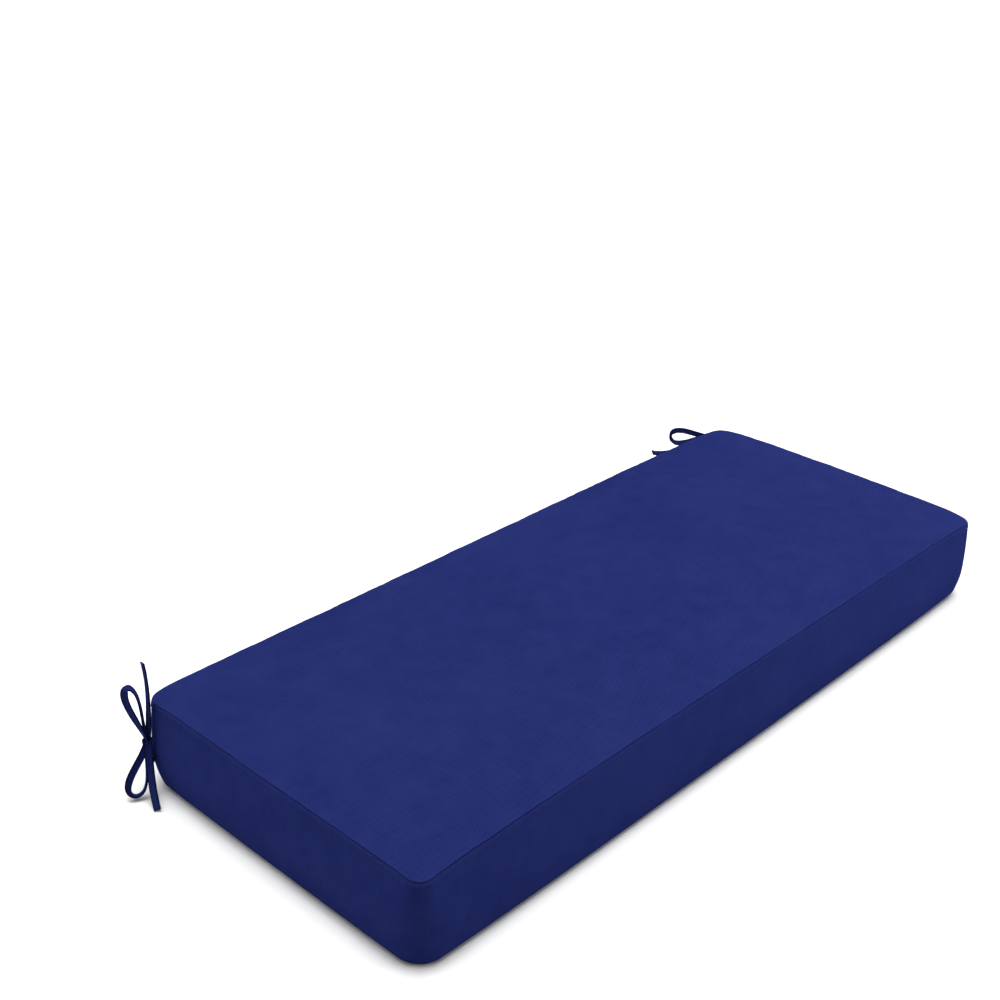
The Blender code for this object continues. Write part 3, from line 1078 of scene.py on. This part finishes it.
    def sewing_place(self, corner: tuple[int, int], angle: float, height: float) -> tuple[Vector, Vector]:
        """The point of the band's corner where a tie is sewn on.

        Args:
            corner: The signs of its X and Y.
            angle: Compass angle of the place, in degrees.
            height: Its height.

        Returns:
            The point and the direction outwards.
        """
        share = self.share_at(height)
        radius = self.corner_radius(share)
        half = self.half - self.band_inset(share)
        outward = np.array([math.cos(math.radians(angle)), math.sin(math.radians(angle))])
        plan = np.array(corner) * (half - radius) + outward * radius
        plan = self.bowed(plan[None], half, self.bow_at(share))
        return Vector(self.uneven(plan, height, math.sin(math.pi * share))[0]), Vector((*outward, 0.0))


# ---------------------------------------------------------------------------------------------------------
# Ties
# ---------------------------------------------------------------------------------------------------------


@dataclass(frozen=True)
class Loop:
    """One loop of a bow.

    Attributes:
        reach: From the knot to the loop's far end.
        breadth: Across the loop.
        fullness: How far out its widest place lies.
        lift: How far its two sides part, square to the loop.
        along: Direction of the loop, in the bow's own directions.
        turns: Share of the way and turn of the strip there, in degrees.
    """

    reach: float
    breadth: float
    fullness: float
    lift: float
    along: Vec3
    turns: Stops


@dataclass(frozen=True)
class FreeEnd:
    """One free end of a bow.

    Attributes:
        length: Its length.
        origin: Where it leaves the knot, in the bow's own directions.
        start: Its direction there.
        end: Its direction at the tip.
        turns: Share of the way and turn of the strip there, in degrees.
    """

    length: float
    origin: Vec3
    start: Vec3
    end: Vec3
    turns: Stops


@dataclass
class Strip:
    """A run of folded and stitched strip.

    Attributes:
        path: Its middle line.
        broad: At each point, the direction across its width.
        closed: Whether it ends where it starts.
        width: Its width.
        thickness: Its thickness.
        dip: How far its middle sinks between the folded edges.
        crown: How far its edges curl inwards, as they do round a knot.
        rounding: Share of half its thickness that the folds are rounded by.
        section_steps: Points across its face, and round a fold with both ends.
        painted_fold_reach: Shares of half its width: where the painted shade of the folds starts, and over
            which it deepens.
    """

    path: Array
    broad: Array
    closed: bool = False
    width: float = 0.0080
    thickness: float = 0.0018
    dip: float = 0.00018
    crown: float = 0.0
    rounding: float = 0.95
    section_steps: tuple[int, int] = (7, 6)
    painted_fold_reach: Pair = (0.45, 0.30)

    def flats(self) -> Array:
        """Direction out of the strip's face.

        Returns:
            One direction for each point of the path.
        """
        if self.closed:
            tangents = np.roll(self.path, -1, axis=0) - np.roll(self.path, 1, axis=0)
        else:
            tangents = np.gradient(self.path, axis=0)
        return unit(np.cross(unit(tangents), self.broad))

    def profile(self) -> Array:
        """The strip's cross-section, anticlockwise.

        Returns:
            Points in two columns, across its width and out of its face.
        """
        half, thick = self.width / 2, self.thickness / 2
        round_off = thick * self.rounding
        across = np.linspace(half - round_off, round_off - half, self.section_steps[0])
        face = np.stack([across, thick - self.dip * (1 - (across / (half - round_off)) ** 2)], 1)
        turn = np.radians(np.linspace(90, 270, self.section_steps[1])[1:-1])
        edge = np.stack([round_off - half + round_off * np.cos(turn), thick * np.sin(turn)], 1)
        upper = np.concatenate([face, edge])
        section = np.concatenate([upper, -upper])
        section[:, 1] -= self.crown * (section[:, 0] / half) ** 2
        return section

    def painted_fold_shade(self) -> Array:
        """Painted shade round the cross-section: how dark the cloth is painted, fully at the two folds, not
        in between.
        """
        start, span = self.painted_fold_reach
        return np.clip((np.abs(self.profile()[:, 0]) / (self.width / 2) - start) / span, 0.0, 1.0)

    def length(self) -> float:
        """Length of the strip's middle line."""
        return float(run_of(self.path)[-1])

    def skin(self, first: int) -> tuple[Array, list[list[int]], list[Array]]:
        """The strip's surface.

        Args:
            first: Number of its first point.

        Returns:
            Its points, its faces and the place along the cloth of each corner of a face.
        """
        profile = self.profile()
        rows, around = len(self.path), len(profile)
        rings = (self.path[:, None] + self.broad[:, None] * profile[None, :, :1]
                 + self.flats()[:, None] * profile[None, :, 1:])
        faces = (first + grid_faces(rows, around, self.closed)).tolist()
        run = run_of(self.path)
        if self.closed:
            run = np.append(run, run[-1] + run[1])
        girth = run_of(np.concatenate([profile, profile[:1]]))
        grain = np.zeros((len(run) - 1, around, 4, 2))
        grain[..., 0] = np.stack([run[:-1], run[:-1], run[1:], run[1:]], 1)[:, None]
        grain[..., 1] = np.stack([girth[:-1], girth[1:], girth[1:], girth[:-1]], 1)[None]
        grains = [grain.reshape(-1, 2)]
        if not self.closed:
            for start, order in ((first, 1), (first + (rows - 1) * around, -1)):
                faces.append((start + np.arange(around))[::order].tolist())
                grains.append(profile[::order])
        return rings.reshape(-1, 3), faces, grains


@dataclass
class BowTie:
    """A tie: a folded strip sewn on by its middle and tied in a bow.

    Attributes:
        node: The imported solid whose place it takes. The places and sizes down to free_ends are that
            solid's, but for a few tenths of a millimetre where an end leaves the knot.
        corner: The signs of X and Y of the cushion's corner.
        sewn_angle: Compass angle of the place where it is sewn on, in degrees.
        sewn_height: Height of that place.
        knot: Middle of the knot.
        facing: Compass angle that the bow faces, in degrees.
        loops: Its loops.
        free_ends: Its free ends.
        neck_reach: How far the run from the band to the knot first goes outwards.
        neck_rise: How far it then bends upwards.
        neck_turns: Turns of the strip along it.
        neck_size: The strip's width and thickness there.
        neck_parting: Half the distance between its two layers, at the band and at the knot.
        sewn_gap: From the band to the start of that run.
        sideways_loop: Cosine to the out direction from which a loop counts as lying sideways.
        loop_opening: Share of a loop that the knot hides at either end.
        loop_waver: Size in radians and pace of the uneven turn along a loop.
        end_waver: The same along a free end.
        steps: Steps along a loop, a free end, the neck and the wrap.
        wrap_axis: The line round which the strip is wrapped, in the bow's own directions.
        wrap_radii: Half the wrap's size across and out of the bow.
        wrap_size: The strip's width and thickness there.
        wrap_crown: How far its edges curl inwards.
        wrap_slant: How far the wrap climbs along its axis, and where, in radians.
        stitch_inset: From the edge of the strip to the stitches.
        stitch_sink: How far a thread's middle lies in the cloth.
        least_sewn: The shortest run that shows stitches.
    """

    node: str
    corner: tuple[int, int]
    sewn_angle: float
    sewn_height: float
    knot: Vec3
    facing: float
    loops: tuple[Loop, ...]
    free_ends: tuple[FreeEnd, ...]
    neck_reach: float = 0.0066
    neck_rise: float = 0.0
    neck_turns: Stops = ((0.0, 0.0), (1.0, 0.0))
    neck_size: Pair = (0.0070, 0.0015)
    neck_parting: Pair = (0.00078, 0.00105)
    sewn_gap: float = 0.0003
    sideways_loop: float = 0.8
    loop_opening: float = 0.03
    loop_waver: Pair = (0.05, 9.0)
    end_waver: Pair = (0.06, 7.0)
    steps: tuple[int, int, int, int] = (90, 44, 19, 40)
    wrap_axis: Vec3 = (0.0, 0.0, 1.0)
    wrap_radii: Pair = (0.0050, 0.0034)
    wrap_size: Pair = (0.0062, 0.0016)
    wrap_crown: float = 0.0011
    wrap_slant: Pair = (0.0009, 0.6)
    stitch_inset: float = 0.0014
    stitch_sink: float = 0.00004
    least_sewn: float = 0.03

    def axes(self) -> Array:
        """The bow's own directions in rows: out, front and up."""
        cos, sin = math.cos(math.radians(self.facing)), math.sin(math.radians(self.facing))
        return np.array([[sin, -cos, 0.0], [cos, sin, 0.0], [0.0, 0.0, 1.0]])

    @staticmethod
    def broad_along(path: Array, normal: Array, stops: Stops,
                    waver: Pair = (0.0, 0.0)) -> Array:
        """Direction across the strip at each point of a path.

        Args:
            path: The strip's middle line.
            normal: The direction that its width has at turn 0.
            stops: Share of the way and turn about the path there, in degrees.
            waver: Size in radians and pace of an uneven turn that is added.

        Returns:
            One direction for each point.
        """
        shares = np.linspace(0, 1, len(path))
        marks, turns = np.array(stops).T
        after = np.clip(np.searchsorted(marks, shares), 1, len(marks) - 1)
        part = (shares - marks[after - 1]) / (marks[after] - marks[after - 1])
        turns = np.radians(turns[after - 1] + (turns[after] - turns[after - 1]) * smooth(part))
        turns += waver[0] * np.sin(waver[1] * shares)
        tangent = unit(np.gradient(path, axis=0))
        side = unit(np.cross(tangent, normal))
        upright = unit(np.cross(side, tangent))
        return upright * np.cos(turns)[:, None] + side * np.sin(turns)[:, None]

    def loop_strip(self, loop: Loop) -> Strip:
        """A drop-shaped loop.

        Args:
            loop: Its sizes.

        Returns:
            The strip.
        """
        axes = self.axes()
        along = unit(np.array(loop.along) @ axes)
        normal = unit(np.cross(along, axes[0] if abs(along @ axes[0]) < self.sideways_loop else axes[2]))
        across = unit(np.cross(normal, along))
        widest = 2 * math.atan(math.sqrt(1 + loop.fullness))
        most = math.sin(widest) * math.sin(widest / 2) ** loop.fullness
        share = np.linspace(0, 1, self.steps[0] + 1)
        angle = 2 * math.pi * (self.loop_opening + (1 - 2 * self.loop_opening) * share)
        forward = loop.reach * (1 - np.cos(angle)) / 2
        sideways = np.sin(angle) * np.sin(angle / 2) ** loop.fullness / most * loop.breadth / 2
        lift = loop.lift * np.cos(angle / 2)
        path = self.knot + np.stack([forward, sideways, lift], 1) @ np.stack([along, across, normal])
        return Strip(path, self.broad_along(path, normal, loop.turns, self.loop_waver))

    def end_strip(self, end: FreeEnd) -> Strip:
        """A free end.

        Args:
            end: Its sizes.

        Returns:
            The strip.
        """
        axes = self.axes()
        start, tip = unit(np.array(end.start) @ axes), unit(np.array(end.end) @ axes)
        share = ((np.arange(self.steps[1]) + 0.5) / self.steps[1])[:, None] ** 2
        moves = unit(start + (tip - start) * share) * end.length / self.steps[1]
        path = np.cumsum(np.concatenate([[self.knot + np.array(end.origin) @ axes], moves]), axis=0)
        return Strip(path, self.broad_along(path, axes[1], end.turns, self.end_waver))

    def neck_strips(self, cushion: BoxCushion) -> list[Strip]:
        """The two halves of the strip between the band and the knot.

        Args:
            cushion: The cushion that the tie is sewn to.

        Returns:
            Two strips that lie on each other.
        """
        sewn, outward = cushion.sewing_place(self.corner, self.sewn_angle, self.sewn_height)
        start, knot = sewn + outward * self.sewn_gap, Vector(self.knot)
        bend = sewn + outward * self.neck_reach + Vector((0.0, 0.0, self.neck_rise))
        path = np.array([start.lerp(bend, share).lerp(bend.lerp(knot, share), share)
                         for share in np.linspace(0.0, 1.0, self.steps[2] + 1)])
        across = np.array(outward.cross(Vector((0.0, 0.0, 1.0))))
        broad = self.broad_along(path, across, self.neck_turns)
        parted = Strip(path, broad).flats() * np.linspace(*self.neck_parting, len(path))[:, None]
        width, thickness = self.neck_size
        return [Strip(path + side * parted, broad, width=width, thickness=thickness) for side in (-1, 1)]

    def wrap_strip(self) -> Strip:
        """The turn of strip that goes round the knot.

        Returns:
            A closed strip.
        """
        axes = self.axes()
        axis = unit(np.array(self.wrap_axis) @ axes)
        first = unit(np.cross(axis, axes[1]))
        second = unit(np.cross(axis, first))
        angle = np.linspace(0, 2 * math.pi, self.steps[3], endpoint=False)
        (wide, deep), (climb, phase) = self.wrap_radii, self.wrap_slant
        shares = np.stack([wide * np.cos(angle), deep * np.sin(angle), climb * np.sin(angle + phase)], 1)
        path = self.knot + shares @ np.stack([first, second, axis])
        width, thickness = self.wrap_size
        return Strip(path, np.repeat(axis[None], len(path), axis=0), closed=True, width=width,
                     thickness=thickness, crown=self.wrap_crown)

    @staticmethod
    def mesh(name: str, strips: list[Strip]) -> Mesh:
        """Skins strips.

        Args:
            name: The mesh's name.
            strips: The strips.

        Returns:
            One mesh with each strip closed.
        """
        points: list[Array] = []
        faces: list[list[int]] = []
        grains: list[Array] = []
        for strip in strips:
            rings, quads, corners = strip.skin(sum(map(len, points)))
            points.append(rings)
            faces += quads
            grains += corners
        # Painted shade along each strip's two folds, as a share of the painted light colour.
        painted_folds = np.concatenate([np.tile(strip.painted_fold_shade(), len(strip.path)) for strip in strips])
        return cloth_mesh(name, np.concatenate(points), faces, np.concatenate(grains), painted_folds)

    def stitch_rows(self, strips: list[Strip]) -> list[tuple[Array, Array]]:
        """Paths for the stitches along one edge of each run, on both faces.

        Args:
            strips: The strips.

        Returns:
            For each row its path and the directions out of the cloth.
        """
        rows = []
        for strip in strips:
            if strip.closed or strip.length() < self.least_sewn:
                continue
            flats = strip.flats()[1:-1]
            line = (strip.path + strip.broad * (strip.width / 2 - self.stitch_inset))[1:-1]
            for side in (-1, 1):
                rows.append((line + flats * side * (strip.thickness / 2 - self.stitch_sink), flats * side))
        return rows

    def build(self, cushion: BoxCushion, cloth: Material, thread: Material,
              stitches: StitchRow) -> None:
        """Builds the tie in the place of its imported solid.

        Args:
            cushion: The cushion that it is sewn to.
            cloth: The strip's material.
            thread: The stitches' material.
            stitches: How the stitches are laid.
        """
        strips = [self.loop_strip(loop) for loop in self.loops]
        strips += [self.end_strip(end) for end in self.free_ends]
        strips += [*self.neck_strips(cushion), self.wrap_strip()]
        strip = new_object(self.node + "_strip", self.mesh(self.node + "_strip", strips), cloth)
        sewing = stitches.sew(self.node + "_stitches", self.stitch_rows(strips), thread)
        for piece in (strip, sewing):
            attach(piece, "root")
        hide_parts(self.node)
        total = sum(run.length() for run in strips)
        log.info("%s: %.0f mm of strip, %d stitch faces", self.node, 1000 * total, len(sewing.data.polygons))


# ---------------------------------------------------------------------------------------------------------
# Floor, light and camera
# ---------------------------------------------------------------------------------------------------------


@dataclass(frozen=True)
class SoftBox:
    """A large soft light.

    Attributes:
        name: Its name.
        place: Where it stands.
        target: Where it points.
        size: Its two sides.
        power: Its power, in watts.
    """

    name: str
    place: Vec3
    target: Vec3
    size: Pair
    power: float

    def add(self) -> None:
        """Adds the light to the scene."""
        data = bpy.data.lights.new(self.name, "AREA")
        data.shape = "RECTANGLE"
        data.size, data.size_y = self.size
        data.energy = self.power
        light = bpy.data.objects.new(self.name, data)
        light.location = self.place
        aim = Vector(self.target) - Vector(self.place)
        light.rotation_euler = aim.to_track_quat("-Z", "Y").to_euler()
        bpy.context.scene.collection.objects.link(light)


@dataclass
class Studio:
    """The pale floor and its soft light.

    Attributes:
        floor_reach: Half a side of the floor.
        horizon: The sky's light at the horizon.
        zenith: Its light straight overhead.
        backdrop: The colour that the camera sees.
        overhead_focus: How closely the sky's light keeps overhead.
        lights: The lights.
    """

    floor_reach: float = 30.0
    horizon: Vec3 = (0.06, 0.06, 0.06)
    zenith: Vec3 = (13.4, 13.4, 13.4)
    backdrop: Vec3 = (0.97, 0.97, 0.97)
    overhead_focus: float = 12.0
    lights: tuple[SoftBox, ...] = (
        SoftBox("left_back", (-2.4, 1.8, 0.65), (0.0, 0.0, 0.05), (2.6, 1.2), 44.0),
        SoftBox("right_front", (2.2, -2.6, 0.60), (0.3, 0.0, 0.05), (1.6, 0.9), 82.0),
        SoftBox("overhead_right", (0.9, 0.0, 1.3), (0.9, 0.0, 0.0), (1.0, 1.0), 6.0),
    )

    def sky(self) -> bpy.types.World:
        """Builds a plain sky that is dim at the horizon and brightest overhead.

        Returns:
            The world.
        """
        world = bpy.data.worlds.new("soft_sky")
        world.use_nodes = True
        sheet = NodeSheet(world.node_tree)
        way = sheet.add("ShaderNodeTexCoord").outputs["Generated"]
        upward = sheet.math("MAXIMUM", sheet.add("ShaderNodeSeparateXYZ", {0: way}).outputs[2], 0.0)
        height = sheet.math("POWER", upward, self.overhead_focus)
        seen = sheet.mix(sheet.add("ShaderNodeLightPath").outputs["Is Camera Ray"],
                         sheet.mix(height, (*self.horizon, 1.0), (*self.zenith, 1.0)), (*self.backdrop, 1.0))
        light = sheet.add("ShaderNodeBackground", {"Color": seen})
        sheet.add("ShaderNodeOutputWorld", {"Surface": light.outputs[0]})
        return world

    def build(self, finish: PaleFloor) -> None:
        """Builds the floor, the sky and the lights.

        Args:
            finish: The floor's finish.
        """
        reach = self.floor_reach
        mesh = bpy.data.meshes.new("floor")
        mesh.from_pydata([(-reach, -reach, 0), (reach, -reach, 0), (reach, reach, 0), (-reach, reach, 0)],
                         [], [(0, 1, 2, 3)])
        floor = new_object("floor", mesh, finish.material())
        bpy.context.scene.world = self.sky()
        for light in self.lights:
            light.add()
        view = bpy.context.scene.view_settings
        view.view_transform = "Standard"
        view.look = "None"


@dataclass
class PhotoCamera:
    """The camera at the photograph's place and angle.

    Attributes:
        place: Where it stands.
        yaw: Its turn about the vertical, in degrees.
        pitch: How far it looks down, in degrees.
        roll: Its tilt to one side, in degrees.
        lens: Its focal length, in millimetres.
        sensor: Width of its sensor, in millimetres.
    """

    place: Vec3 = (-1.2229543751, -0.9412989893, 1.0082864506)
    yaw: float = -47.606
    pitch: float = 26.862
    roll: float = 2.021
    lens: float = 54.943
    sensor: float = 36.0

    def build(self) -> None:
        """Builds the camera and makes it the scene's own."""
        data = bpy.data.cameras.new("photo_camera")
        data.lens = self.lens
        data.sensor_width = self.sensor
        data.sensor_fit = "HORIZONTAL"
        camera = bpy.data.objects.new("photo_camera", data)
        turn = (Matrix.Rotation(math.radians(self.yaw), 4, "Z")
                @ Matrix.Rotation(math.radians(90 - self.pitch), 4, "X")
                @ Matrix.Rotation(math.radians(self.roll), 4, "Z"))
        camera.matrix_world = Matrix.Translation(self.place) @ turn
        bpy.context.scene.collection.objects.link(camera)
        bpy.context.scene.camera = camera


# The cover's painted light colour is lighter and paler than its weave: a painted highlight beside the seams.
COVER_CLOTH = WovenCloth("navy cover cloth", yarn=(0.0140, 0.0200, 0.0900), hollow=(0.0056, 0.0094, 0.0600),
                         painted_light_colour=(0.0130, 0.0190, 0.0880))
# The ties are the cover's cloth painted about a tenth darker, as painted shade; their painted light colour is
# a far darker painted shade at the folds.
SHADED_TIE_CLOTH = WovenCloth("navy tie cloth painted darker", yarn=(0.0122, 0.0165, 0.0820), hollow=(0.0052, 0.0080, 0.0540),
                       painted_light_colour=(0.0030, 0.0042, 0.0230))

LEFT_TIE = BowTie(
    node="tie_left", corner=(-1, 1), sewn_angle=160.0, sewn_height=0.036, knot=(-0.5117, 0.1887, 0.0636),
    facing=236.5,
    loops=(
        Loop(0.0684, 0.0120, 2.35, 0.0022, (0.223, 0.0, 0.97),
             ((0.0, 20.0), (0.30, 70.0), (0.41, 84.0), (0.50, 22.0), (0.60, 8.0), (1.0, 8.0))),
        Loop(0.0622, 0.0179, 2.65, -0.0022, (0.289, 0.229, -0.97),
             ((0.0, 70.0), (0.30, 82.0), (0.50, 8.0), (1.0, 8.0))),
    ),
    free_ends=(
        FreeEnd(0.0892, (-0.0012, -0.002, 0.002), (-0.084, -0.05, 1.0), (0.156, -0.05, 1.0),
                ((0.0, 38.0), (0.5, 29.0), (1.0, 25.0))),
        FreeEnd(0.0693, (-0.001, 0.003, -0.002), (0.011, 0.365, -1.0), (-0.134, 0.542, -0.45),
                ((0.0, 80.0), (1.0, 98.0))),
    ),
    neck_reach=0.0077, neck_rise=0.014, neck_turns=((0.0, 0.0), (1.0, 60.0)),
)

RIGHT_TIE = BowTie(
    node="tie_right", corner=(1, 1), sewn_angle=75.0, sewn_height=0.067, knot=(0.4890, 0.2160, 0.0887),
    facing=214.0,
    loops=(
        Loop(0.0524, 0.0194, 2.28, 0.0022, (0.97, 0.0, -0.0987),
             ((0.0, 70.0), (0.25, 100.0), (0.38, 96.0), (0.49, 26.0), (0.58, 24.0), (0.70, 50.0),
              (1.0, 50.0))),
        Loop(0.0580, 0.0170, 2.0, 0.0022, (-0.10, -0.50, -0.80), ((0.0, 10.0), (0.40, 35.0), (1.0, 5.0))),
    ),
    free_ends=(
        FreeEnd(0.0945, (0.002, 0.0005, -0.003), (0.76, 0.60, -0.26), (0.76, 0.60, 0.41),
                ((0.0, 84.0), (0.55, 118.0), (1.0, 160.0))),
        FreeEnd(0.0700, (0.0, -0.002, -0.003), (-0.50, -0.40, -0.80), (-0.45, -0.75, -0.40),
                ((0.0, 70.0), (1.0, 80.0))),
    ),
    wrap_axis=(0.6, 0.0, 0.8),
)


def main() -> None:
    """Builds the camera, the cushion, its ties and the studio, in that order."""
    logging.basicConfig(level=logging.INFO, format="%(name)s: %(message)s")
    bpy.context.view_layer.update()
    PhotoCamera().build()
    log.info("camera placed")
    cover, shaded_tie_cloth = COVER_CLOTH.material(), SHADED_TIE_CLOTH.material()
    thread = SewingThread().material()
    cushion = BoxCushion()
    cushion.build(cover)
    stitches = StitchRow()
    for tie in (LEFT_TIE, RIGHT_TIE):
        tie.build(cushion, shaded_tie_cloth, thread, stitches)
    Studio().build(PaleFloor())
    log.info("floor and lights placed")


if __name__ == "__main__":
    main()
